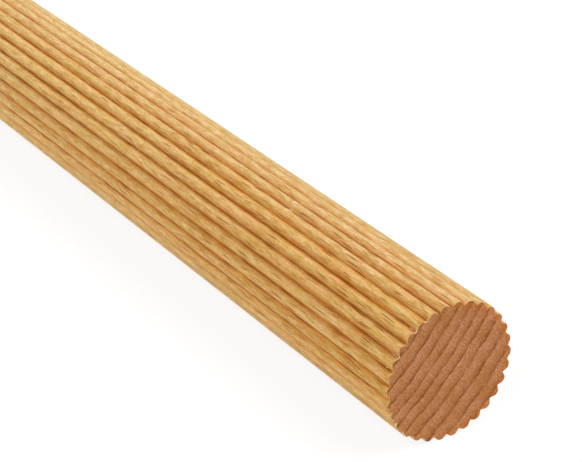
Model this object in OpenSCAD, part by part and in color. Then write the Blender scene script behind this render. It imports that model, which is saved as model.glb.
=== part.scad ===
// Fluted dowel rod: a straight beech rod with V-shaped grooves pressed into it all the way round,
// which leave round-crested ridges between them. Both ends are sawn square. The rod lies along X
// on two neighbouring ridges, so that a groove faces straight down. The origin is on the ground
// under the middle of the rod.

/* [Rod] */
// Diameter over the crests of the ridges
rod_d = 16; // [15:0.5:24]
// Length from sawn end to sawn end
rod_len = 300; // [40:1:1000]

/* [Fluting] */
// Number of grooves round the rod, and so of ridges too
flute_count = 30; // [24:1:32]
// Depth of the bottom of a groove below the crests
flute_depth = 0.5; // [0.3:0.05:0.55]
// Angle between the two flanks of a groove
flute_angle = 100; // [80:5:105]
// Radius of the rounded crest of a ridge
crest_round = 0.9; // [0.85:0.05:1.5]

/* [Hidden] */
// Sides of a drawn circle
$fn = 96;
// Colour of the bare beech
beech = [0.86, 0.70, 0.45];

crest_r = rod_d / 2;
// The bottoms of all grooves lie on one round core.
core_r = crest_r - flute_depth;
// Distance from the axis to the middle of a crest's rounding
crest_centre = crest_r - crest_round;
// Angle from the bottom of a groove to the crest beside it
half_pitch = 180 / flute_count;
// Height of the rod's axis when its two lowest ridges lie on the ground
axis_height = crest_centre * cos(half_pitch) + crest_round;

// The space that one tooth of the fluting die takes, with its tip at the bottom of the groove.
// It is cut off well clear of the wood, twice the depth of the groove above the bottom.
module die_tooth() {
    tooth_h = 2 * flute_depth;
    tooth_half_w = tooth_h * tan(flute_angle / 2);
    polygon([
        [core_r, 0],
        [core_r + tooth_h, tooth_half_w],
        [core_r + tooth_h, -tooth_half_w],
    ]);
}

// Cross-section of the rod, with a groove at the very bottom
module fluted_section() {
    difference() {
        union() {
            circle(r = core_r);
            for (i = [0 : flute_count - 1])
                rotate(-90 + half_pitch * (2 * i + 1))
                    translate([crest_centre, 0])
                        circle(r = crest_round);
        }
        for (i = [0 : flute_count - 1])
            rotate(-90 + half_pitch * 2 * i)
                die_tooth();
    }
}

// The section drawn out along X, as the die leaves it
module fluted_rod() {
    color(beech)
        translate([-rod_len / 2, 0, axis_height])
            rotate([90, 0, 90])
                linear_extrude(height = rod_len)
                    fluted_section();
}

fluted_rod();
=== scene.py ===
# %% [markdown]
# # A fluted beech rod
# The object is one straight piece of beech. It was pushed through a toothed die, which pressed
# V-shaped grooves into its side and left round-crested ridges between them, and then it was
# sawn square across. There is nothing to assemble, so the whole lesson goes into two things: a
# section that follows a rule and is drawn out along a line, and a wood that looks right both
# along the grain and across it.
#
# The solid model of the rod comes first. It fixes the size and the place, in metres, and the
# dressed rod that is made here has to stay inside its box.

# %% Load the solid rod
import math

import bpy
from mathutils import Matrix, Vector


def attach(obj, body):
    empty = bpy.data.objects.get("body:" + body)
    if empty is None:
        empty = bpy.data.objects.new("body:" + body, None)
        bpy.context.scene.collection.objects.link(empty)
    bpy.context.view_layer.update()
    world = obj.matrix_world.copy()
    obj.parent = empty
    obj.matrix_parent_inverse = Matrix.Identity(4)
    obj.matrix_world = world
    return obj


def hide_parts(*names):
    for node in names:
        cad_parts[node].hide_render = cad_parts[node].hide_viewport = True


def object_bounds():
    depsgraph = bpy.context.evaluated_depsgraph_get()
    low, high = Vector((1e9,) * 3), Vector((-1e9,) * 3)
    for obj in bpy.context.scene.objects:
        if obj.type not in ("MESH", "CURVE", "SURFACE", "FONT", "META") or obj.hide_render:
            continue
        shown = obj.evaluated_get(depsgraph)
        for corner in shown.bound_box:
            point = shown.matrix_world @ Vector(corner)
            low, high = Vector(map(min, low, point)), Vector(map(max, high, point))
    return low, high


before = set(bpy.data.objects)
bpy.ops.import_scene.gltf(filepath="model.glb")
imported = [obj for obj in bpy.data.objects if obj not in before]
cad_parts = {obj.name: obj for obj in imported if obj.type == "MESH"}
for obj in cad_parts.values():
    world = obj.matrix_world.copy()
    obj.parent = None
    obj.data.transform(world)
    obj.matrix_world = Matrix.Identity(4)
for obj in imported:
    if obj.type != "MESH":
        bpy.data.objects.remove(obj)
solid_low, solid_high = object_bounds()
print("solid rod from", tuple(solid_low), "to", tuple(solid_high))

# %% [markdown]
# ## The sizes that drive everything
# The box gives the length and the diameter. The rod lies on two ridges, with a groove straight
# down, so its axis is a little lower than its radius. The sizes of the fluting aren't in the
# box: they are the ones that the solid was made with. A groove is a V, and a ridge is rounded
# over the top by one arc. Where the straight flank of the V meets that arc takes a little
# school geometry: a line from the groove's bottom is cut with a circle.

# %% Sizes of the rod and its fluting
MM = 0.001
rod_length = solid_high.x - solid_low.x
crest_radius = (solid_high.y - solid_low.y) / 2
ridge_count = 30
groove_depth = 0.5 * MM
groove_angle = math.radians(100)
crest_round = 0.9 * MM

core_radius = crest_radius - groove_depth
half_pitch = math.pi / ridge_count
crest_centre = crest_radius - crest_round
axis_height = crest_centre * math.cos(half_pitch) + crest_round

groove_bottom = core_radius * Vector((math.cos(half_pitch), math.sin(half_pitch)))
flank_lean = half_pitch - groove_angle / 2
flank = Vector((math.cos(flank_lean), math.sin(flank_lean)))
from_centre = groove_bottom - Vector((crest_centre, 0))
inward = from_centre.dot(flank)
flank_length = -inward + math.sqrt(inward**2 - from_centre.length_squared + crest_round**2)
shoulder = from_centre + flank_length * flank
crest_opening = math.atan2(shoulder.y, shoulder.x)
flank_drop = shoulder.x - from_centre.x
flank_width = from_centre.y - shoulder.y
print("a crest's arc opens", math.degrees(2 * crest_opening), "degrees")
print("a flank drops", flank_drop / MM, "mm over", flank_width / MM, "mm")

# %% [markdown]
# ## The camera
# The photograph looks down on the sawn end from the left with a long lens, so the rod shrinks
# only a little as it goes away. The lens, the two angles and the place of the sawn end in the
# picture were found by fitting a cylinder to the photograph. The place is given in rod
# diameters along the camera's own right, down and forward directions, so it would still hold
# for a thicker rod.

# %% Place the camera
lens_mm = 125.4
azimuth, elevation = math.radians(57.17), math.radians(27.04)
end_right, end_down, end_forward = 1.006, 0.895, 12.883

camera_right = Vector((math.cos(azimuth), math.sin(azimuth), 0))
camera_forward = Vector(
    (
        -math.sin(azimuth) * math.cos(elevation),
        math.cos(azimuth) * math.cos(elevation),
        -math.sin(elevation),
    )
)
camera_up = camera_right.cross(camera_forward)
near_end = Vector((rod_length / 2, 0, axis_height))
offset = end_right * camera_right - end_down * camera_up + end_forward * camera_forward

camera = bpy.data.objects.new("camera", bpy.data.cameras.new("camera"))
camera.data.lens = lens_mm
camera.data.clip_start = 1 * MM
turn = Matrix((camera_right, camera_up, -camera_forward)).transposed()
camera.matrix_world = Matrix.Translation(near_end - 2 * crest_radius * offset) @ turn.to_4x4()
bpy.context.scene.collection.objects.link(camera)
bpy.context.scene.camera = camera
bpy.context.scene.view_settings.view_transform = "Standard"
print("camera at", tuple(camera.matrix_world.translation))

# %% [markdown]
# ## A shorthand for nodes
# Both the shape and the wood are node trees, and a tree is easier to read in a script when one
# line adds one node. `place` adds a node, sets its options and fills its inputs, with a plain
# value or with a link from another node. `calc` and `vector_calc` do that for the two kinds of
# arithmetic node and hand back the result.

# %% Node helpers
NUMBER_RESULTS = ("LENGTH", "DISTANCE", "DOT_PRODUCT")


def place(tree, kind, inputs=(), **options):
    """One new node, with its options set and its inputs filled by values or links."""
    made = tree.nodes.new(kind)
    for option, value in options.items():
        setattr(made, option, value)
    for name, value in dict(inputs).items():
        if isinstance(value, bpy.types.NodeSocket):
            tree.links.new(value, made.inputs[name])
        else:
            made.inputs[name].default_value = value
    return made


def calc(tree, operation, *values):
    """The result of one Math node."""
    return place(tree, "ShaderNodeMath", enumerate(values), operation=operation).outputs[0]


def vector_calc(tree, operation, *values):
    """The result of one Vector Math node: a number for a length, and otherwise a vector."""
    made = place(tree, "ShaderNodeVectorMath", enumerate(values), operation=operation)
    return made.outputs["Value" if operation in NUMBER_RESULTS else "Vector"]


def scaled(tree, vector, factor):
    """A vector times a number."""
    inputs = {0: vector, "Scale": factor}
    return place(tree, "ShaderNodeVectorMath", inputs, operation="SCALE").outputs["Vector"]


def join_xyz(tree, **parts):
    """A vector from its X, Y and Z, where a part that isn't named is 0."""
    return place(tree, "ShaderNodeCombineXYZ", parts).outputs[0]


def split_xyz(tree, vector):
    """A vector's X, Y and Z."""
    return place(tree, "ShaderNodeSeparateXYZ", {"Vector": vector}).outputs


def turn_x(tree, vector, angle):
    """A vector turned round the rod's own direction."""
    inputs = {"Vector": vector, "Angle": angle}
    return place(tree, "ShaderNodeVectorRotate", inputs, rotation_type="X_AXIS").outputs[0]


def level(tree, value, low, high):
    """0 where a value is at low, 1 at high, an even climb between and no change beyond."""
    inputs = {"Value": value, "From Min": low, "From Max": high}
    return place(tree, "ShaderNodeMapRange", inputs).outputs["Result"]


def noise(tree, spot, per_mm, detail=2.0, seed=0.0):
    """Soft noise from 0 to 1, with its own count of waves per millimetre along each axis."""
    stretched = vector_calc(tree, "MULTIPLY", spot, per_mm)
    inputs = {"Vector": stretched, "W": seed, "Scale": 1.0, "Detail": detail}
    return place(tree, "ShaderNodeTexNoise", inputs, noise_dimensions="4D").outputs[0]


# %% [markdown]
# Colours need a few more. The wood's colours were read off a screen, so `screen_colour` turns
# them into the light that Blender works with. `blend` lays one colour over another, and `tint`
# multiplies a colour by a brightness that follows a pattern. Where wood is darker it is redder
# too, and where it is paler it is whiter, so the brightness counts less for red and more for
# blue.

# %% Colour helpers
RED_POWER, BLUE_POWER = 0.62, 2.6


def screen_colour(red, green, blue):
    """A colour as a screen shows it, 0 to 255, turned into the light that Blender works with."""

    def light(value):
        share = value / 255
        return share / 12.92 if share <= 0.04045 else ((share + 0.055) / 1.055) ** 2.4

    return (light(red), light(green), light(blue), 1.0)


def grey(value):
    return (value, value, value, 1.0)


def warm(value):
    """A brightness of wood as a colour to multiply with."""
    return (value**RED_POWER, value, value**BLUE_POWER, 1.0)


def blend(tree, share, first, second, blend_type="MIX"):
    """Two colours mixed by a share from 0 to 1."""
    made = place(tree, "ShaderNodeMix", data_type="RGBA", blend_type=blend_type)
    for socket, value in ((0, share), (6, first), (7, second)):
        if isinstance(value, bpy.types.NodeSocket):
            tree.links.new(value, made.inputs[socket])
        else:
            made.inputs[socket].default_value = value
    return made.outputs[2]


def ramp(tree, share, stops):
    """A colour ramp: stops are (place from 0 to 1, colour)."""
    made = place(tree, "ShaderNodeValToRGB", {"Fac": share})
    elements = made.color_ramp.elements
    while len(elements) < len(stops):
        elements.new(1.0)
    for element, (spot, colour) in zip(elements, stops):
        element.position, element.color = spot, colour
    return made.outputs["Color"]


def tint(tree, colour, pattern, stops):
    """A colour made darker and lighter: stops are (place in the pattern, brightness)."""
    tones = ramp(tree, pattern, [(spot, warm(value)) for spot, value in stops])
    return blend(tree, 1.0, colour, tones, "MULTIPLY")


# %% [markdown]
# ## The growth rings inside the wood
# A growth ring is a thin shell round the pith of the tree. The rod was cut well away from the
# pith, so on its sawn end the rings are almost straight lines. If the pattern is worked out in
# the solid, from each point's distance to the pith, the end and the side agree by themselves.
# Each year starts pale, darkens slowly and ends in a sharp dark line. The years aren't equally
# wide: here they narrow and widen again over about eight years.
#
# The line of a year is never quite smooth. Broad rays run from the pith outwards like spokes,
# and between two of them the wood bulges, so the line is a row of shallow arcs. Cells along the
# way round the pith give those arcs, a fine noise kinks them and a soft one bends the whole.

# %% Where a point lies in the tree
PITH_DISTANCE = 45.0
PITH_DIRECTION = math.radians(136.5)
GRAIN_SLOPE = 0.008
RING_WIDTH = 1.565
RING_START = 5.98
RING_CYCLE, RING_SWING = 8.0, 0.195
RIPPLE, KINK = 0.24, 0.27
RAY_SPACING, RAY_BULGE = 2.7, 0.2


def spot_in_rod(tree):
    """A point's place in millimetres from the middle of the rod's axis."""
    spot = place(tree, "ShaderNodeTexCoord").outputs["Object"]
    inputs = {"Vector": spot, "Location": (0, 0, -axis_height / MM), "Scale": [1 / MM] * 3}
    return place(tree, "ShaderNodeMapping", inputs).outputs["Vector"]


def spot_in_tree(tree, spot):
    """The same point by its place along the trunk, round the pith and out from it."""
    along, across, up = split_xyz(tree, spot)
    drift = calc(tree, "MULTIPLY", along, GRAIN_SLOPE)
    pith_y = PITH_DISTANCE * math.cos(PITH_DIRECTION)
    pith_z = PITH_DISTANCE * math.sin(PITH_DIRECTION)
    from_y = calc(tree, "ADD", calc(tree, "SUBTRACT", across, pith_y), drift)
    from_z = calc(tree, "SUBTRACT", up, pith_z)
    out = vector_calc(tree, "LENGTH", join_xyz(tree, Y=from_y, Z=from_z))
    turned = calc(tree, "ARCTAN2", from_z, from_y)
    return join_xyz(tree, X=along, Y=calc(tree, "MULTIPLY", turned, PITH_DISTANCE), Z=out)


def year_of(tree, spot, in_tree):
    """How far through its year a point was grown, from 0 to 1."""
    _, round_pith, out = split_xyz(tree, in_tree)
    ripple = calc(tree, "SUBTRACT", noise(tree, spot, (0.02, 0.3, 0.3), 2.0, 1.3), 0.5)
    kink = calc(tree, "SUBTRACT", noise(tree, spot, (0.05, 1.7, 1.7), 4.0, 2.9), 0.5)
    cell = calc(tree, "DIVIDE", round_pith, RAY_SPACING)
    inputs = {"W": cell, "Scale": 1.0}
    ray = place(tree, "ShaderNodeTexVoronoi", inputs, voronoi_dimensions="1D").outputs["Distance"]
    bulge = calc(tree, "MULTIPLY", calc(tree, "MULTIPLY", ray, ray), RAY_BULGE)
    waved = calc(tree, "MULTIPLY_ADD", kink, 2 * KINK, bulge)
    bent = calc(tree, "ADD", calc(tree, "MULTIPLY_ADD", ripple, 2 * RIPPLE, out), waved)
    from_first = calc(tree, "SUBTRACT", bent, PITH_DISTANCE - RING_START)
    even = calc(tree, "DIVIDE", from_first, RING_WIDTH)
    swing = calc(tree, "MULTIPLY", calc(tree, "SUBTRACT", even, 1.0), math.tau / RING_CYCLE)
    swung = calc(tree, "MULTIPLY_ADD", calc(tree, "COSINE", swing), -RING_SWING, even)
    return calc(tree, "FRACT", calc(tree, "ADD", swung, RING_SWING))


# %% [markdown]
# ## A wood's shader
# Both faces of the wood end in the same few nodes: a colour, a roughness and a height that
# becomes a bump. What is the same all over a surface, such as how strongly it mirrors, is set
# on the shader itself.

# %% Shader helpers


def new_material(name):
    material = bpy.data.materials.new(name)
    material.use_nodes = True
    material.node_tree.nodes.clear()
    return material


def finish_wood(tree, colour, roughness, height, bump_depth, mirror):
    """The shader of a wood, with a bump of that depth."""
    inputs = {"Height": height, "Strength": 1.0, "Distance": bump_depth}
    bump = place(tree, "ShaderNodeBump", inputs).outputs["Normal"]
    inputs = {"Base Color": colour, "Roughness": roughness, "Normal": bump}
    shader = place(tree, "ShaderNodeBsdfPrincipled", inputs)
    shader.inputs["Specular IOR Level"].default_value = mirror
    place(tree, "ShaderNodeOutputMaterial", {"Surface": shader.outputs["BSDF"]})


# %% [markdown]
# ## Sawn end grain
# Across the grain the saw opens the ends of the vessels, which swallow light, so the end is
# darker and redder than the side and has hardly any shine. The pale-to-dark course of each year
# comes from a colour ramp, and in patches it is fainter. On top of it lie the open pores, as fine
# speckle, fine pale rays that cross the rings, and the faint marks of the saw, which only the
# bump sees. Out in the tips of the ridges the pressed wood is more orange, most of all at the
# right.

# %% Make the end grain
END_PALE = screen_colour(198, 134, 80)
END_MIDDLE = screen_colour(188, 123, 70)
END_DEEP = screen_colour(178, 112, 59)
END_LINE = screen_colour(141, 82, 36)
END_TIP = screen_colour(203, 116, 38)
END_COURSE = (
    (0.0, END_LINE),
    (0.11, END_PALE),
    (0.5, END_MIDDLE),
    (0.79, END_DEEP),
    (0.94, END_LINE),
)
FAINT_SHARE = 0.75
TIP_BAND, TIP_SHARE, TIP_LEAN = 0.7, 0.75, 0.03
SAW_SHARE = 0.5
END_BUMP = 0.05 * MM
END_MIRROR = 0.2


def make_end_grain():
    material = new_material("beech_end_grain")
    tree = material.node_tree
    spot = spot_in_rod(tree)
    in_tree = spot_in_tree(tree, spot)
    year = year_of(tree, spot, in_tree)
    faint = level(tree, noise(tree, spot, (0.1, 0.55, 0.55), 3.0, 26.1), 0.44, 0.68)
    lost = calc(tree, "MULTIPLY", faint, FAINT_SHARE)
    rings = blend(tree, lost, ramp(tree, year, END_COURSE), END_MIDDLE)

    _, across, up = split_xyz(tree, spot)
    from_axis = vector_calc(tree, "LENGTH", join_xyz(tree, Y=across, Z=up))
    patch = noise(tree, spot, (0.1, 0.5, 0.5), 2.0, 19.4)
    leaning = calc(tree, "MULTIPLY_ADD", across, TIP_LEAN, patch)
    in_tip = level(tree, from_axis, core_radius / MM - TIP_BAND, crest_radius / MM)
    orange = calc(tree, "MULTIPLY", in_tip, level(tree, leaning, 0.4, 0.7))
    tipped = blend(tree, calc(tree, "MULTIPLY", orange, TIP_SHARE), rings, END_TIP)

    pores = noise(tree, spot, (2.0, 3.8, 3.8), 3.0, 4.1)
    rays = noise(tree, in_tree, (0.1, 4.0, 0.5), 2.0, 6.2)
    cloud = noise(tree, spot, (0.1, 0.45, 0.45), 3.0, 8.4)
    speckled = tint(tree, tipped, pores, [(0.3, 0.68), (0.5, 1.0), (0.7, 1.34)])
    rayed = tint(tree, speckled, rays, [(0.3, 0.93), (0.7, 1.07)])
    clouded = tint(tree, rayed, cloud, [(0.3, 0.85), (0.7, 1.14)])

    saw = noise(tree, spot, (0.0, 0.25, 3.5), 3.0, 7.7)
    height = calc(tree, "MULTIPLY_ADD", saw, SAW_SHARE, pores)
    roughness = level(tree, pores, -1.6, 1.2)
    finish_wood(tree, clouded, roughness, height, END_BUMP, END_MIRROR)
    return material


end_grain = make_end_grain()
print("made", end_grain.name, "with", len(end_grain.node_tree.nodes), "nodes")

# %% [markdown]
# ## Pressed long grain
# Along the grain beech is honey coloured, with patches that lean to peach or to straw. Fine
# streaks and fibres run along it. Short dark dashes, the cut ends of the rays, give beech away:
# a ray is a thin blade that points at the pith, so the dashes are drawn in the tree's own
# directions, long along the trunk, thin round it and deep towards the pith. Each has a rusty
# fringe. A blade that lies flat in the surface shows only as a faint broad flake. On two opposite
# sides, one of them along the top of the rod, the colour is painted paler and whiter: a painted
# sheen that stands for the glancing reflection there. No rod has one colour from end to end, and
# this one turns a little more buff away from its near end, with fainter dashes.

# %% Colours and flecks of the long grain
SIDE_PALE = screen_colour(222, 182, 113)
SIDE_MIDDLE = screen_colour(215, 167, 89)
SIDE_DEEP = screen_colour(206, 147, 67)
SIDE_PEACH = screen_colour(226, 163, 94)
SIDE_STRAW = screen_colour(213, 174, 88)
# The paler, whiter colour on the next line is a painted sheen, for the glancing reflection along
# the top of the rod.
SIDE_PAINTED_SHEEN = screen_colour(230, 200, 146)
SIDE_BUFF = screen_colour(231, 196, 116)
SIDE_FLECK = screen_colour(140, 74, 2)
SIDE_RUST = screen_colour(206, 128, 34)
# Where round the rod the painted sheen lies, and how far it pales the wood.
SHEEN_TURN, SHEEN_SHARE = math.radians(18), 0.38
BUFF_FROM, BUFF_TO, BUFF_SHARE = 140.0, 60.0, 0.48
CLOUD_SHARE, STREAK_SHARE = 0.4, 0.6
FLECK_SIZES = ((3.8, 0.24, 2.4), (2.4, 0.18, 1.6))
FLECK_HALO, FLECK_EDGE, FLECK_CORE = 0.56, 0.38, 0.2
FLECK_RARE = (0.58, 0.85)
FLECK_BEND = 0.5


def ray_flecks(tree, in_tree, cell):
    """1 on a ray fleck, 0 off it, with many cells left empty, and the same with a wider edge."""
    bend = calc(tree, "MULTIPLY", noise(tree, in_tree, (0.15, 0.6, 0.6), 1.0, 28.3), FLECK_BEND)
    moved = vector_calc(tree, "ADD", in_tree, join_xyz(tree, Y=bend))
    inputs = {"Vector": vector_calc(tree, "DIVIDE", moved, cell), "Scale": 1.0}
    cells = place(tree, "ShaderNodeTexVoronoi", inputs, voronoi_dimensions="3D").outputs
    chance = place(tree, "ShaderNodeTexWhiteNoise", {"Vector": cells["Position"]}).outputs["Value"]
    there = level(tree, chance, *FLECK_RARE)
    return [
        calc(tree, "MULTIPLY", there, level(tree, cells["Distance"], edge, FLECK_CORE))
        for edge in (FLECK_EDGE, FLECK_HALO)
    ]


def facing_rays(tree, spot, turn=0.0):
    """1 on the two sides of the rod that cut the rays end on, 0 on those that lie along them."""
    _, across, up = split_xyz(tree, spot)
    outwards = vector_calc(tree, "NORMALIZE", join_xyz(tree, Y=across, Z=up))
    along_rays = PITH_DIRECTION + turn
    to_pith = (0, math.cos(along_rays), math.sin(along_rays))
    return calc(tree, "ABSOLUTE", vector_calc(tree, "DOT_PRODUCT", outwards, to_pith))


def away_from_end(tree, spot):
    """0 near the end that the photograph shows, 1 well away from it."""
    return level(tree, split_xyz(tree, spot)[0], BUFF_FROM, BUFF_TO)


def bare_long_grain(tree, spot, year):
    """The colour of the wood before it was pressed, and its fine fibre."""
    streak = noise(tree, spot, (0.04, 1.6, 1.6), 4.0, 2.2)
    cloud = noise(tree, spot, (0.03, 0.2, 0.2), 2.0, 5.5)
    patch = noise(tree, spot, (0.3, 1.6, 1.6), 3.0, 12.6)
    fibre = noise(tree, spot, (0.6, 6.0, 6.0), 3.0, 9.1)
    dash = noise(tree, spot, (0.7, 3.2, 3.2), 2.0, 17.3)
    speck = noise(tree, spot, (2.4, 6.0, 6.0), 2.0, 33.7)
    streaked = calc(tree, "MULTIPLY", streak, STREAK_SHARE)
    tone = calc(tree, "MULTIPLY_ADD", cloud, CLOUD_SHARE, streaked)
    base = ramp(tree, tone, [(0.36, SIDE_DEEP), (0.5, SIDE_MIDDLE), (0.64, SIDE_PALE)])
    peachy = blend(tree, level(tree, patch, 0.52, 0.72), base, SIDE_PEACH)
    patched = blend(tree, level(tree, patch, 0.48, 0.28), peachy, SIDE_STRAW)
    # Painted sheen: two opposite sides, one of them along the top of the rod, are mixed towards a
    # paler, whiter colour.
    painted_sheen = level(tree, facing_rays(tree, spot, SHEEN_TURN), 0.95, 0.3)
    sheened = blend(tree, calc(tree, "MULTIPLY", painted_sheen, SHEEN_SHARE), patched, SIDE_PAINTED_SHEEN)
    buff = calc(tree, "MULTIPLY", away_from_end(tree, spot), BUFF_SHARE)
    turned = blend(tree, buff, sheened, SIDE_BUFF)
    ringed = tint(tree, turned, year, [(0.0, 0.96), (0.15, 1.03), (0.75, 0.99), (0.97, 0.9)])
    dashed = tint(tree, ringed, dash, [(0.32, 0.78), (0.46, 0.98), (0.66, 1.1)])
    specked = tint(tree, dashed, speck, [(0.3, 0.88), (0.5, 1.0), (0.7, 1.12)])
    return tint(tree, specked, fibre, [(0.34, 0.8), (0.5, 1.0), (0.66, 1.16)]), fibre


# %% [markdown]
# The die leaves its own marks on top. In the grooves the wood is darker and more orange, in some
# places more than in others. This is partly wood that the die pressed and rubbed hardest, and
# partly painted shade, which stands for the shadow and orange bounce light deep in each V. How
# deep a point lies in its groove is stored on the mesh by the node tree that makes the shape, as
# `groove`, and a noise frays the limit. The dashes of the rays lie over the pressed and shaded
# wood. The saw tore the fibres along its edge, so a thin pale line runs round the sawn end, with
# gaps. Two ridges were nicked not far from that end, and show fresh pale wood there.

# %% Make the long grain
# The flank and groove colours below hold both the pressed wood's darker tone and painted shade.
SIDE_PRESSED_SHADED_FLANK = screen_colour(204, 128, 38)
SIDE_PRESSED_SHADED_GROOVE = screen_colour(144, 73, 2)
SIDE_TORN = screen_colour(242, 208, 166)
GROOVE_FRAY = 0.75
FLANK_LEAST, FLANK_VARIES = 0.45, 0.5
BOTTOM_LEAST, BOTTOM_VARIES = 0.4, 0.55
TORN_WIDTH, TORN_FADE, TORN_SHARE = 0.2, 0.1, 0.7
NICKS = ((27.7, 94.0), (27.25, 104.2))
NICK_LONG, NICK_WIDE = 0.5, 0.48
NICK_EDGE, NICK_CORE = 1.2, 0.2
SMALL_FLECK_SHARE, RUST_SHARE = 0.7, 0.5
FLECK_STRENGTH, FLECK_FADE, FLECK_FLAT = 0.9, 0.45, 0.2
FLECK_DENT = 0.4
SIDE_BUMP = 0.05 * MM
SIDE_MIRROR = 0.25


def press_and_shade_grooves(tree, colour, spot):
    """The colour with the grooves darkened, partly as pressed wood and partly as painted shade."""
    # Pressed wood and painted shade: by depth, the flanks turn orange and the groove bottoms dark.
    groove = place(tree, "ShaderNodeAttribute", attribute_name="groove").outputs["Fac"]
    fray = calc(tree, "SUBTRACT", noise(tree, spot, (0.35, 2.6, 2.6), 3.0, 3.3), 0.5)
    ragged = calc(tree, "MULTIPLY_ADD", fray, GROOVE_FRAY, groove)
    bottom_patches = level(tree, noise(tree, spot, (0.2, 0.7, 0.7), 3.0, 23.8), 0.36, 0.62)
    flank_patches = level(tree, noise(tree, spot, (0.4, 0.9, 0.9), 2.0, 38.2), 0.38, 0.62)
    orange = calc(tree, "MULTIPLY_ADD", flank_patches, FLANK_VARIES, FLANK_LEAST)
    flank = calc(tree, "MULTIPLY", level(tree, ragged, 0.2, 0.9), orange)
    flanked = blend(tree, flank, colour, SIDE_PRESSED_SHADED_FLANK)
    darkest = calc(tree, "MULTIPLY_ADD", bottom_patches, BOTTOM_VARIES, BOTTOM_LEAST)
    bottom = calc(tree, "MULTIPLY", level(tree, ragged, 0.72, 1.0), darkest)
    return blend(tree, bottom, flanked, SIDE_PRESSED_SHADED_GROOVE)


def torn_edge(tree, spot):
    """1 at the torn edge of a sawn end, 0 away from it."""
    from_middle = calc(tree, "ABSOLUTE", split_xyz(tree, spot)[0])
    from_end = calc(tree, "SUBTRACT", rod_length / 2 / MM, from_middle)
    fray = noise(tree, spot, (0.8, 1.1, 1.1), 3.0, 14.2)
    torn = calc(tree, "MULTIPLY", level(tree, fray, 0.5, 0.72), TORN_WIDTH)
    return level(tree, calc(tree, "SUBTRACT", from_end, torn), 0.0, -TORN_FADE)


def nicks(tree, spot):
    """1 in a nick of a ridge, 0 elsewhere."""
    along, across, up = split_xyz(tree, spot)
    turned = calc(tree, "ARCTAN2", up, across)
    deepest = 0.0
    for from_near_end, degrees in NICKS:
        ahead = calc(tree, "SUBTRACT", along, rod_length / 2 / MM - from_near_end)
        beside = calc(tree, "SUBTRACT", turned, math.radians(degrees))
        inputs = {
            "X": calc(tree, "DIVIDE", ahead, NICK_LONG),
            "Y": calc(tree, "MULTIPLY", beside, crest_radius / MM / NICK_WIDE),
        }
        away = vector_calc(tree, "LENGTH", join_xyz(tree, **inputs))
        deepest = calc(tree, "MAXIMUM", level(tree, away, NICK_EDGE, NICK_CORE), deepest)
    return deepest


def make_long_grain():
    material = new_material("beech_long_grain")
    tree = material.node_tree
    spot = spot_in_rod(tree)
    in_tree = spot_in_tree(tree, spot)
    bare, fibre = bare_long_grain(tree, spot, year_of(tree, spot, in_tree))
    # The grooves' colour here is pressed wood and painted shade together.
    pressed = press_and_shade_grooves(tree, bare, spot)
    large, small = [ray_flecks(tree, in_tree, cell) for cell in FLECK_SIZES]
    fleck, halo = [
        calc(tree, "MAXIMUM", big, calc(tree, "MULTIPLY", little, SMALL_FLECK_SHARE))
        for big, little in zip(large, small)
    ]
    far = away_from_end(tree, spot)
    strength = calc(tree, "MULTIPLY_ADD", far, -FLECK_FADE, FLECK_STRENGTH)
    facing = level(tree, facing_rays(tree, spot), 0.3, 0.8)
    end_on = calc(tree, "MULTIPLY_ADD", facing, 1 - FLECK_FLAT, FLECK_FLAT)
    shown = calc(tree, "MULTIPLY", strength, end_on)
    rust = calc(tree, "MULTIPLY", calc(tree, "MULTIPLY", halo, shown), RUST_SHARE)
    share = calc(tree, "MULTIPLY", fleck, shown)
    flecked = blend(tree, share, blend(tree, rust, pressed, SIDE_RUST), SIDE_FLECK)
    torn = calc(tree, "MULTIPLY", torn_edge(tree, spot), TORN_SHARE)
    fresh = calc(tree, "MAXIMUM", torn, nicks(tree, spot))
    colour = blend(tree, fresh, flecked, SIDE_TORN)
    height = calc(tree, "MULTIPLY_ADD", share, -FLECK_DENT, fibre)
    roughness = level(tree, fibre, -0.8, 1.6)
    finish_wood(tree, colour, roughness, height, SIDE_BUMP, SIDE_MIRROR)
    return material


long_grain = make_long_grain()
print("made", long_grain.name, "with", len(long_grain.node_tree.nodes), "nodes")

# %% [markdown]
# ## Torn fibres
# Here and there the saw left a loose fibre in the mouth of a groove. It is the same wood with
# nothing on it, so its colour is that of the torn edge, with a little fibre noise.

# %% Make the torn fibre


def make_torn_fibre():
    material = new_material("beech_torn_fibre")
    tree = material.node_tree
    fibre = noise(tree, spot_in_rod(tree), (0.6, 5.0, 5.0), 2.0, 15.5)
    colour = blend(tree, fibre, SIDE_MIDDLE, SIDE_TORN)
    finish_wood(tree, colour, level(tree, fibre, -0.8, 1.2), fibre, SIDE_BUMP, END_MIRROR)
    return material


torn_fibre = make_torn_fibre()
print("made", torn_fibre.name, "with", len(torn_fibre.node_tree.nodes), "nodes")

# %% [markdown]
# ## The inputs of the shape
# The die gives every cross-section the same outline, so the body is a profile drawn out along a
# line. That is a shape with a rule, and Geometry Nodes suit it: the tree takes the sizes as
# named inputs, so a thicker rod or one with more ridges is only another set of values.

# %% Name the inputs
POINTS_PER_RIDGE = 10
STATIONS = 310
SIZES = {
    "Length": rod_length,
    "Crest Radius": crest_radius,
    "Groove Depth": groove_depth,
    "Crest Rounding": crest_round,
    "Crest Opening": crest_opening,
    "Flank Drop": flank_drop,
    "Flank Width": flank_width,
    "Axis Height": axis_height,
    "Arris": 0.06 * MM,
    "Tear": 0.3 * MM,
    "Wander": 0.018 * MM,
    "Wear": 0.05 * MM,
    "Uneven Depth": 1.25,
    "Sliver Length": 0.7 * MM,
    "Sliver Radius": 0.06 * MM,
}
COUNTS = {
    "Ridges": ridge_count,
    "Points per Ridge": POINTS_PER_RIDGE,
    "Stations": STATIONS,
    "Slivers": 18,
    "Seed": 7,
}
MATERIALS = {"Long Grain": long_grain, "End Grain": end_grain, "Torn Fibre": torn_fibre}


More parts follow.
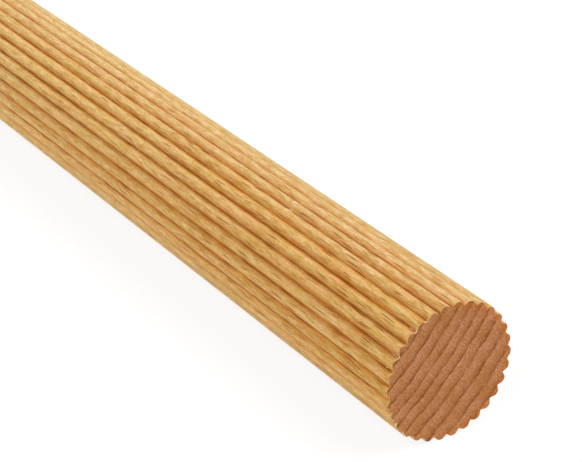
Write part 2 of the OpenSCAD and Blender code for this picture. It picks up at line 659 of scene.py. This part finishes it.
def new_shape_tree(name):
    """An empty tree for a modifier, with the named inputs and a geometry output."""
    tree = bpy.data.node_groups.new(name, "GeometryNodeTree")
    tree.interface.new_socket("Geometry", in_out="OUTPUT", socket_type="NodeSocketGeometry")
    for names, kind in ((SIZES, "Float"), (COUNTS, "Int"), (MATERIALS, "Material")):
        for title in names:
            tree.interface.new_socket(title, in_out="INPUT", socket_type="NodeSocket" + kind)
    return tree


print("the shape has", len(SIZES) + len(COUNTS), "sizes and counts to set")

# %% [markdown]
# ## The section
# The profile could be drawn point by point, but each ridge is the same arc between two straight
# flanks, turned one pitch further round. So it starts as a plain ring of points, and the number
# of each point says which ridge it belongs to and how far across that ridge it lies, from -1 at
# the bottom of one groove to 1 at the bottom of the next. The first and last two steps climb the
# flanks, and those between go over the crest.

# %% The place of a point on the section
FLANK_STEPS = 2


def section_point(tree, given):
    """The place of a profile point by its number, as a vector across the rod."""
    number = place(tree, "GeometryNodeInputIndex").outputs[0]
    per_ridge = given["Points per Ridge"]
    ridge = calc(tree, "FLOOR", calc(tree, "DIVIDE", number, per_ridge))
    step = calc(tree, "MODULO", number, per_ridge)
    over = calc(tree, "MULTIPLY_ADD", calc(tree, "DIVIDE", step, per_ridge), 2.0, -1.0)
    arc_share = calc(tree, "SUBTRACT", 1.0, calc(tree, "DIVIDE", 2.0 * FLANK_STEPS, per_ridge))

    on_arc = level(tree, over, calc(tree, "MULTIPLY", arc_share, -1.0), arc_share)
    opening = calc(tree, "MULTIPLY_ADD", on_arc, 2.0, -1.0)
    lean = calc(tree, "MULTIPLY", opening, given["Crest Opening"])
    on_flank = level(tree, calc(tree, "ABSOLUTE", over), arc_share, 1.0)

    rounding = given["Crest Rounding"]
    centre = calc(tree, "SUBTRACT", given["Crest Radius"], rounding)
    arc_out = calc(tree, "MULTIPLY_ADD", calc(tree, "COSINE", lean), rounding, centre)
    arc_side = calc(tree, "MULTIPLY", calc(tree, "SINE", lean), rounding)
    drop = calc(tree, "MULTIPLY", on_flank, given["Flank Drop"])
    width = calc(tree, "MULTIPLY", calc(tree, "SIGN", over), given["Flank Width"])
    out = calc(tree, "SUBTRACT", arc_out, drop)
    side = calc(tree, "MULTIPLY_ADD", on_flank, width, arc_side)
    pitch = calc(tree, "DIVIDE", math.tau, given["Ridges"])
    angle = calc(tree, "MULTIPLY_ADD", calc(tree, "ADD", ridge, 0.5), pitch, -math.pi / 2)
    return turn_x(tree, join_xyz(tree, Y=out, Z=side), angle)


# %% [markdown]
# ## Drawn out along the rod
# A plain ring is swept along a line with many stations. The ring carries each point's place on
# the section with it, as a captured value, so that after the sweep every point of the tube still
# knows where it belongs.

# %% Sweep the section


def sweep(tree, given):
    """A plain closed tube along X, and each point's place on the section."""
    points = calc(tree, "MULTIPLY", given["Ridges"], given["Points per Ridge"])
    ring = place(tree, "GeometryNodeCurvePrimitiveCircle", {"Resolution": points})
    keep = place(tree, "GeometryNodeCaptureAttribute", {"Geometry": ring.outputs["Curve"]})
    keep.capture_items.new("VECTOR", "section")
    tree.links.new(section_point(tree, given), keep.inputs["section"])

    half = calc(tree, "SUBTRACT", calc(tree, "MULTIPLY", given["Length"], 0.5), given["Arris"])
    start = join_xyz(tree, X=calc(tree, "MULTIPLY", half, -1.0))
    line = place(
        tree, "GeometryNodeCurvePrimitiveLine", {"Start": start, "End": join_xyz(tree, X=half)}
    )
    inputs = {"Curve": line.outputs["Curve"], "Count": given["Stations"]}
    path = place(tree, "GeometryNodeResampleCurve", inputs)
    inputs = {
        "Curve": path.outputs["Curve"],
        "Profile Curve": keep.outputs["Geometry"],
        "Fill Caps": True,
    }
    tube = place(tree, "GeometryNodeCurveToMesh", inputs)
    return tube.outputs["Mesh"], keep.outputs["section"]


# %% [markdown]
# ## Pressed, and not perfect
# Now each point moves to its place on the section. A pressed rod isn't perfect: a long soft noise
# lets the grooves wander a little to and fro, a second presses some deeper than others, and a
# third takes a few hundredths of a millimetre off. The seed of the second was chosen, out of many,
# for teeth that are deep at the lower right of the near rim and shallow at its right, as in the
# photograph. None of the three lifts a crest, so the rod stays inside its box. At the same time
# the depth below the crests is stored on the mesh, for the wood to read.

# %% Press the grooves
DEPTH_SEED = 2802.2
SWAY_GAIN = 4.0


def press(tree, given, tube, section):
    """The fluted rod, with the attribute groove from 0 on a crest to 1 at a groove's bottom."""
    position = place(tree, "GeometryNodeInputPosition").outputs[0]
    along = split_xyz(tree, position)[0]
    in_metres = vector_calc(tree, "ADD", section, join_xyz(tree, X=along))
    spot = scaled(tree, in_metres, 1 / MM)

    sway = calc(tree, "SUBTRACT", noise(tree, spot, (0.13, 0.6, 0.6), 3.0, 11.0), 0.5)
    sideways = calc(tree, "MULTIPLY", calc(tree, "MULTIPLY", sway, SWAY_GAIN), given["Wander"])
    swayed = turn_x(tree, section, calc(tree, "DIVIDE", sideways, given["Crest Radius"]))
    below = calc(tree, "SUBTRACT", given["Crest Radius"], vector_calc(tree, "LENGTH", section))
    uneven = calc(tree, "SUBTRACT", noise(tree, spot, (0.03, 0.35, 0.35), 2.0, DEPTH_SEED), 0.5)
    deeper = calc(tree, "MULTIPLY", calc(tree, "MULTIPLY", uneven, given["Uneven Depth"]), below)
    wear = calc(tree, "MULTIPLY", noise(tree, spot, (0.12, 0.4, 0.4), 3.0, 21.0), given["Wear"])
    lost = calc(tree, "DIVIDE", calc(tree, "ADD", wear, deeper), given["Crest Radius"])
    left = calc(tree, "SUBTRACT", 1.0, lost)
    lift = join_xyz(tree, X=along, Z=given["Axis Height"])
    moved = vector_calc(tree, "ADD", scaled(tree, swayed, left), lift)
    pressed = place(tree, "GeometryNodeSetPosition", {"Geometry": tube, "Position": moved})

    inputs = {
        "Geometry": pressed.outputs["Geometry"],
        "Name": "groove",
        "Value": calc(tree, "DIVIDE", below, given["Groove Depth"]),
    }
    return place(
        tree, "GeometryNodeStoreNamedAttribute", inputs, data_type="FLOAT", domain="POINT"
    ).outputs["Geometry"]


# %% [markdown]
# ## Sawn ends
# The tube is closed by one large face at each end. They are the only faces with more than four
# corners, which is how the tree finds them. A saw leaves no knife edge, so each is pushed out by
# the width of a tiny arris and drawn in by as much. Where the saw left the wood, at the upper
# left, it tore the rim, so there the face is drawn in further, by a ragged amount. Soft edges are
# shaded smooth. The bottoms of the grooves and the rim of the sawn end stay sharp.

# %% Saw the ends
SHARP_EDGE = math.radians(38)
SAW_EXIT = math.radians(160)
TEAR_REACH, TEAR_FULL = math.radians(80), math.radians(25)


def tear_depth(tree, given, from_axis):
    """How far the saw tore the rim at a point across the rod, most where it left the wood."""
    exit_side = (0, math.cos(SAW_EXIT), math.sin(SAW_EXIT))
    facing = vector_calc(tree, "DOT_PRODUCT", vector_calc(tree, "NORMALIZE", from_axis), exit_side)
    torn = level(tree, facing, math.cos(TEAR_REACH), math.cos(TEAR_FULL))
    in_mm = scaled(tree, from_axis, 1 / MM)
    ragged = level(tree, noise(tree, in_mm, (0, 0.9, 0.9), 3.0, 31.0), 0.2, 0.7)
    return calc(tree, "MULTIPLY", calc(tree, "MULTIPLY", torn, ragged), given["Tear"])


def saw_ends(tree, given, rod):
    """The rod with an arris round both ends, and a selection of the two sawn faces."""
    corners = place(tree, "GeometryNodeInputMeshFaceNeighbors").outputs["Vertex Count"]
    inputs = {2: corners, 3: 4}
    is_end = place(
        tree, "FunctionNodeCompare", inputs, data_type="INT", operation="GREATER_THAN"
    ).outputs[0]
    inputs = {"Mesh": rod, "Selection": is_end, "Offset Scale": given["Arris"]}
    pushed = place(tree, "GeometryNodeExtrudeMesh", inputs, mode="FACES").outputs

    position = place(tree, "GeometryNodeInputPosition").outputs[0]
    axis = join_xyz(tree, X=split_xyz(tree, position)[0], Z=given["Axis Height"])
    from_axis = vector_calc(tree, "SUBTRACT", position, axis)
    lost = calc(tree, "ADD", given["Arris"], tear_depth(tree, given, from_axis))
    outward = vector_calc(tree, "NORMALIZE", from_axis)
    inward = scaled(tree, outward, calc(tree, "MULTIPLY", lost, -1.0))
    inputs = {"Geometry": pushed["Mesh"], "Selection": pushed["Top"], "Offset": inward}
    drawn_in = place(tree, "GeometryNodeSetPosition", inputs).outputs["Geometry"]
    angle = place(tree, "GeometryNodeInputMeshEdgeAngle").outputs["Unsigned Angle"]
    inputs = {"Geometry": drawn_in, "Shade Smooth": calc(tree, "LESS_THAN", angle, SHARP_EDGE)}
    smooth = place(tree, "GeometryNodeSetShadeSmooth", inputs, domain="EDGE")
    return smooth.outputs["Geometry"], pushed["Top"]


# %% [markdown]
# ## Slivers in the mouths of the grooves
# The torn fibres are all alike: a thin tapered sliver that lies in a groove, with its free end
# just short of the sawn face. One is made and set on points, at the two ends in turn, and random
# numbers with a fixed seed choose the groove, the size and the lean of each. They all hang near
# the side where the saw left the wood.

# %% Scatter the slivers
SLIVER_SIDES, SLIVER_RINGS = 5, 4
SLIVER_BEND, SLIVER_TAPER = 0.2, 0.7
SLIVER_SPREAD = math.radians(55)
SLIVER_BESIDE = (-0.2, 0.2)
SLIVER_RISE = (0.1, 0.45)
SLIVER_SIZE = (0.5, 1.3)
SLIVER_LEAN_OUT, SLIVER_LEAN_SIDE = (-0.1, 0.12), (-0.3, 0.3)


def set_material(tree, geometry, material, where=True):
    """The geometry with a material on all its faces, or on those that are selected."""
    inputs = {"Geometry": geometry, "Selection": where, "Material": material}
    return place(tree, "GeometryNodeSetMaterial", inputs).outputs[0]


def random_share(tree, given, low, high, salt):
    """A random number for each point, the same at every run."""
    seed = calc(tree, "ADD", given["Seed"], salt)
    inputs = {2: low, 3: high, "Seed": seed}
    return place(tree, "FunctionNodeRandomValue", inputs, data_type="FLOAT").outputs[1]


def one_sliver(tree, given):
    """A bent tapered sliver that starts at the origin and points along Z."""
    long, thick = given["Sliver Length"], given["Sliver Radius"]
    line = place(tree, "GeometryNodeCurvePrimitiveLine", {"End": join_xyz(tree, Z=long)})
    inputs = {"Curve": line.outputs["Curve"], "Count": SLIVER_RINGS}
    path = place(tree, "GeometryNodeResampleCurve", inputs).outputs["Curve"]
    share = place(tree, "GeometryNodeSplineParameter").outputs["Factor"]
    bow = calc(tree, "MULTIPLY", calc(tree, "MULTIPLY", share, share), SLIVER_BEND)
    shift = join_xyz(tree, Y=calc(tree, "MULTIPLY", bow, long))
    bent = place(tree, "GeometryNodeSetPosition", {"Geometry": path, "Offset": shift}).outputs[0]
    inputs = {"Resolution": SLIVER_SIDES, "Radius": thick}
    ring = place(tree, "GeometryNodeCurvePrimitiveCircle", inputs).outputs["Curve"]
    inputs = {
        "Curve": bent,
        "Profile Curve": ring,
        "Scale": calc(tree, "MULTIPLY_ADD", share, -SLIVER_TAPER, 1.0),
        "Fill Caps": True,
    }
    sliver = place(tree, "GeometryNodeCurveToMesh", inputs).outputs["Mesh"]
    return set_material(tree, sliver, given["Torn Fibre"])


def scatter_slivers(tree, given):
    """Instances of the sliver in the groove mouths of both ends."""
    number = place(tree, "GeometryNodeInputIndex").outputs[0]
    end = calc(tree, "MULTIPLY_ADD", calc(tree, "MODULO", number, 2.0), -2.0, 1.0)
    pitch = calc(tree, "DIVIDE", math.tau, given["Ridges"])
    aimed = random_share(tree, given, SAW_EXIT - SLIVER_SPREAD, SAW_EXIT + SLIVER_SPREAD, 1)
    from_bottom = calc(tree, "ADD", aimed, math.pi / 2)
    groove = calc(tree, "ROUND", calc(tree, "DIVIDE", from_bottom, pitch))
    beside = random_share(tree, given, *SLIVER_BESIDE, 2)
    angle = calc(tree, "MULTIPLY_ADD", calc(tree, "ADD", groove, beside), pitch, -math.pi / 2)
    core = calc(tree, "SUBTRACT", given["Crest Radius"], given["Groove Depth"])
    rise_share = random_share(tree, given, *SLIVER_RISE, 3)
    rise = calc(tree, "MULTIPLY", given["Groove Depth"], rise_share)
    size = random_share(tree, given, *SLIVER_SIZE, 4)
    reach = calc(tree, "MULTIPLY", size, given["Sliver Length"])
    back = calc(tree, "ADD", reach, given["Arris"])
    along = calc(tree, "SUBTRACT", calc(tree, "MULTIPLY", given["Length"], 0.5), back)

    out = turn_x(tree, join_xyz(tree, Y=calc(tree, "ADD", core, rise)), angle)
    at_end = join_xyz(tree, X=calc(tree, "MULTIPLY", end, along), Z=given["Axis Height"])
    foot = vector_calc(tree, "ADD", out, at_end)
    lean_out = random_share(tree, given, *SLIVER_LEAN_OUT, 5)
    lean_side = random_share(tree, given, *SLIVER_LEAN_SIDE, 6)
    lean = join_xyz(tree, Y=lean_out, Z=lean_side)
    aim = vector_calc(tree, "ADD", turn_x(tree, lean, angle), join_xyz(tree, X=end))
    points = place(tree, "GeometryNodePoints", {"Count": given["Slivers"], "Position": foot})
    turned = place(tree, "FunctionNodeAlignRotationToVector", {"Vector": aim}, axis="Z")
    inputs = {
        "Points": points.outputs[0],
        "Instance": one_sliver(tree, given),
        "Rotation": turned.outputs[0],
        "Scale": join_xyz(tree, X=size, Y=size, Z=size),
    }
    return place(tree, "GeometryNodeInstanceOnPoints", inputs).outputs["Instances"]


# %% [markdown]
# ## The whole tree
# The steps follow each other as on the real rod: drawn out, pressed, sawn. The slivers join at
# the end and become plain mesh with the rest, each with its own material. The two sawn faces
# take theirs last.

# %% Put the tree together


def build_rod_tree():
    tree = new_shape_tree("fluted rod")
    given = place(tree, "NodeGroupInput").outputs
    tube, section = sweep(tree, given)
    rod, sawn = saw_ends(tree, given, press(tree, given, tube, section))
    joined = place(tree, "GeometryNodeJoinGeometry")
    for part in (scatter_slivers(tree, given), set_material(tree, rod, given["Long Grain"])):
        tree.links.new(part, joined.inputs[0])
    solid = place(tree, "GeometryNodeRealizeInstances", {"Geometry": joined.outputs[0]}).outputs[0]
    ended = set_material(tree, solid, given["End Grain"], sawn)
    place(tree, "NodeGroupOutput", {"Geometry": ended})
    return tree


rod_tree = build_rod_tree()
print("the rod's tree has", len(rod_tree.nodes), "nodes")

# %% [markdown]
# ## From the tree to a plain mesh
# The tree hangs on an empty mesh as a modifier. Its inputs are set by their identifiers before
# Blender works it out for the first time. What comes out is copied into a plain mesh, and the
# modifier goes, so the finished piece holds nothing that is still live.

# %% Make the rod's mesh


def bake_tree(name, tree, values):
    """A plain mesh object made by a node tree with these input values."""
    holder = bpy.data.objects.new(name + "_holder", bpy.data.meshes.new(name + "_holder"))
    bpy.context.scene.collection.objects.link(holder)
    modifier = holder.modifiers.new("shape", "NODES")
    modifier.node_group = tree
    for item in tree.interface.items_tree:
        if item.in_out == "INPUT":
            modifier[item.identifier] = values[item.name]
    bpy.context.view_layer.update()
    worked_out = holder.evaluated_get(bpy.context.evaluated_depsgraph_get())
    mesh = bpy.data.meshes.new_from_object(worked_out)
    mesh.name = name
    bpy.data.objects.remove(holder)
    made = bpy.data.objects.new(name, mesh)
    bpy.context.scene.collection.objects.link(made)
    return made


rod = bake_tree("beech_rod", rod_tree, {**SIZES, **COUNTS, **MATERIALS})
triangles = sum(len(face.vertices) - 2 for face in rod.data.polygons)
print("rod has", triangles, "triangles and materials", [m.name for m in rod.data.materials])
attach(rod, "root")
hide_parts("fluted_rod")

# %% [markdown]
# ## Floor and light
# The photograph has a white ground and soft light. The rod's own shading tells where the light
# comes from: every ridge is bright on the flank that faces up and away from the camera, and
# falls off towards the camera. So the stronger soft box stands above and behind the rod, turned a
# little to its sawn end, and a weaker one fills from the camera's left. A third lights the far
# end, which the photograph doesn't show. The floor and an even white room give the rest. The
# camera sees floor and room as white, while the rod is lit at a plain level. The floor keeps the
# shadow where the rod lies on it.

# %% Set up the studio
FLOOR_HALF = 0.6
FLOOR_BOUNCE, FLOOR_FILL = 0.8, 0.14
FLOOR_SHADED, FLOOR_GLOW = 0.17, 0.86
SKY_STRENGTH = 0.05
LAMP_SIZE, LAMP_DISTANCE = 0.7, 0.9
KEY_TILT, KEY_SWING, KEY_POWER = math.radians(60), math.radians(25), 6.5
FILL_TILT, FILL_SWING, FILL_POWER = math.radians(140), math.radians(20), 4.7
BACK_TILT, BACK_SWING, BACK_POWER = math.radians(90), math.radians(-65), 2.2


def seen_directly(tree):
    """1 for a ray that shows the background: from the camera, or by a mirror or through glass."""
    path = place(tree, "ShaderNodeLightPath").outputs
    mirrored = calc(tree, "MAXIMUM", path["Is Glossy Ray"], path["Is Transmission Ray"])
    return calc(tree, "MAXIMUM", path["Is Camera Ray"], mirrored)


def lit_and_glowing(tree, share, strength):
    """A plain grey surface that also gives off some light of its own."""
    plain = place(tree, "ShaderNodeBsdfDiffuse", {"Color": grey(share)}).outputs[0]
    glow = place(tree, "ShaderNodeEmission", {"Strength": strength}).outputs[0]
    return place(tree, "ShaderNodeAddShader", {0: plain, 1: glow}).outputs[0]


def make_floor():
    material = new_material("white_floor")
    tree = material.node_tree
    lighting = lit_and_glowing(tree, FLOOR_BOUNCE, FLOOR_FILL)
    white = lit_and_glowing(tree, FLOOR_SHADED, FLOOR_GLOW)
    shown = place(tree, "ShaderNodeMixShader", {0: seen_directly(tree), 1: lighting, 2: white})
    place(tree, "ShaderNodeOutputMaterial", {"Surface": shown.outputs[0]})
    mesh = bpy.data.meshes.new("floor")
    corners = [(x, y, 0) for x, y in ((-1, -1), (1, -1), (1, 1), (-1, 1))]
    mesh.from_pydata([Vector(c) * FLOOR_HALF for c in corners], [], [(0, 1, 2, 3)])
    mesh.materials.append(material)
    floor = bpy.data.objects.new("floor", mesh)
    bpy.context.scene.collection.objects.link(floor)


def make_world():
    world = bpy.data.worlds.new("white_room")
    world.use_nodes = True
    tree = world.node_tree
    tree.nodes.clear()
    inputs = {"Color": grey(1.0), "Strength": SKY_STRENGTH}
    light = place(tree, "ShaderNodeBackground", inputs).outputs[0]
    inputs = {"Color": grey(1.0), "Strength": 1.0}
    white = place(tree, "ShaderNodeBackground", inputs).outputs[0]
    shown = place(tree, "ShaderNodeMixShader", {0: seen_directly(tree), 1: light, 2: white})
    place(tree, "ShaderNodeOutputWorld", {"Surface": shown.outputs[0]})
    bpy.context.scene.world = world


def make_lamp(name, tilt, swing, power):
    """A soft box that aims at the middle of the rod, tilted round it and swung to its near end."""
    lamp = bpy.data.lights.new(name, "AREA")
    lamp.size = LAMP_SIZE
    lamp.energy = power
    made = bpy.data.objects.new(name, lamp)
    across = Vector((0, math.cos(tilt), math.sin(tilt)))
    towards = math.cos(swing) * across + Vector((math.sin(swing), 0, 0))
    made.location = LAMP_DISTANCE * towards
    made.rotation_euler = towards.to_track_quat("Z", "Y").to_euler()
    bpy.context.scene.collection.objects.link(made)


make_floor()
make_world()
make_lamp("key_soft_box", KEY_TILT, KEY_SWING, KEY_POWER)
make_lamp("fill_soft_box", FILL_TILT, FILL_SWING, FILL_POWER)
make_lamp("back_soft_box", BACK_TILT, BACK_SWING, BACK_POWER)
print("lamps of", KEY_POWER, FILL_POWER, "and", BACK_POWER, "W in a room of", SKY_STRENGTH)
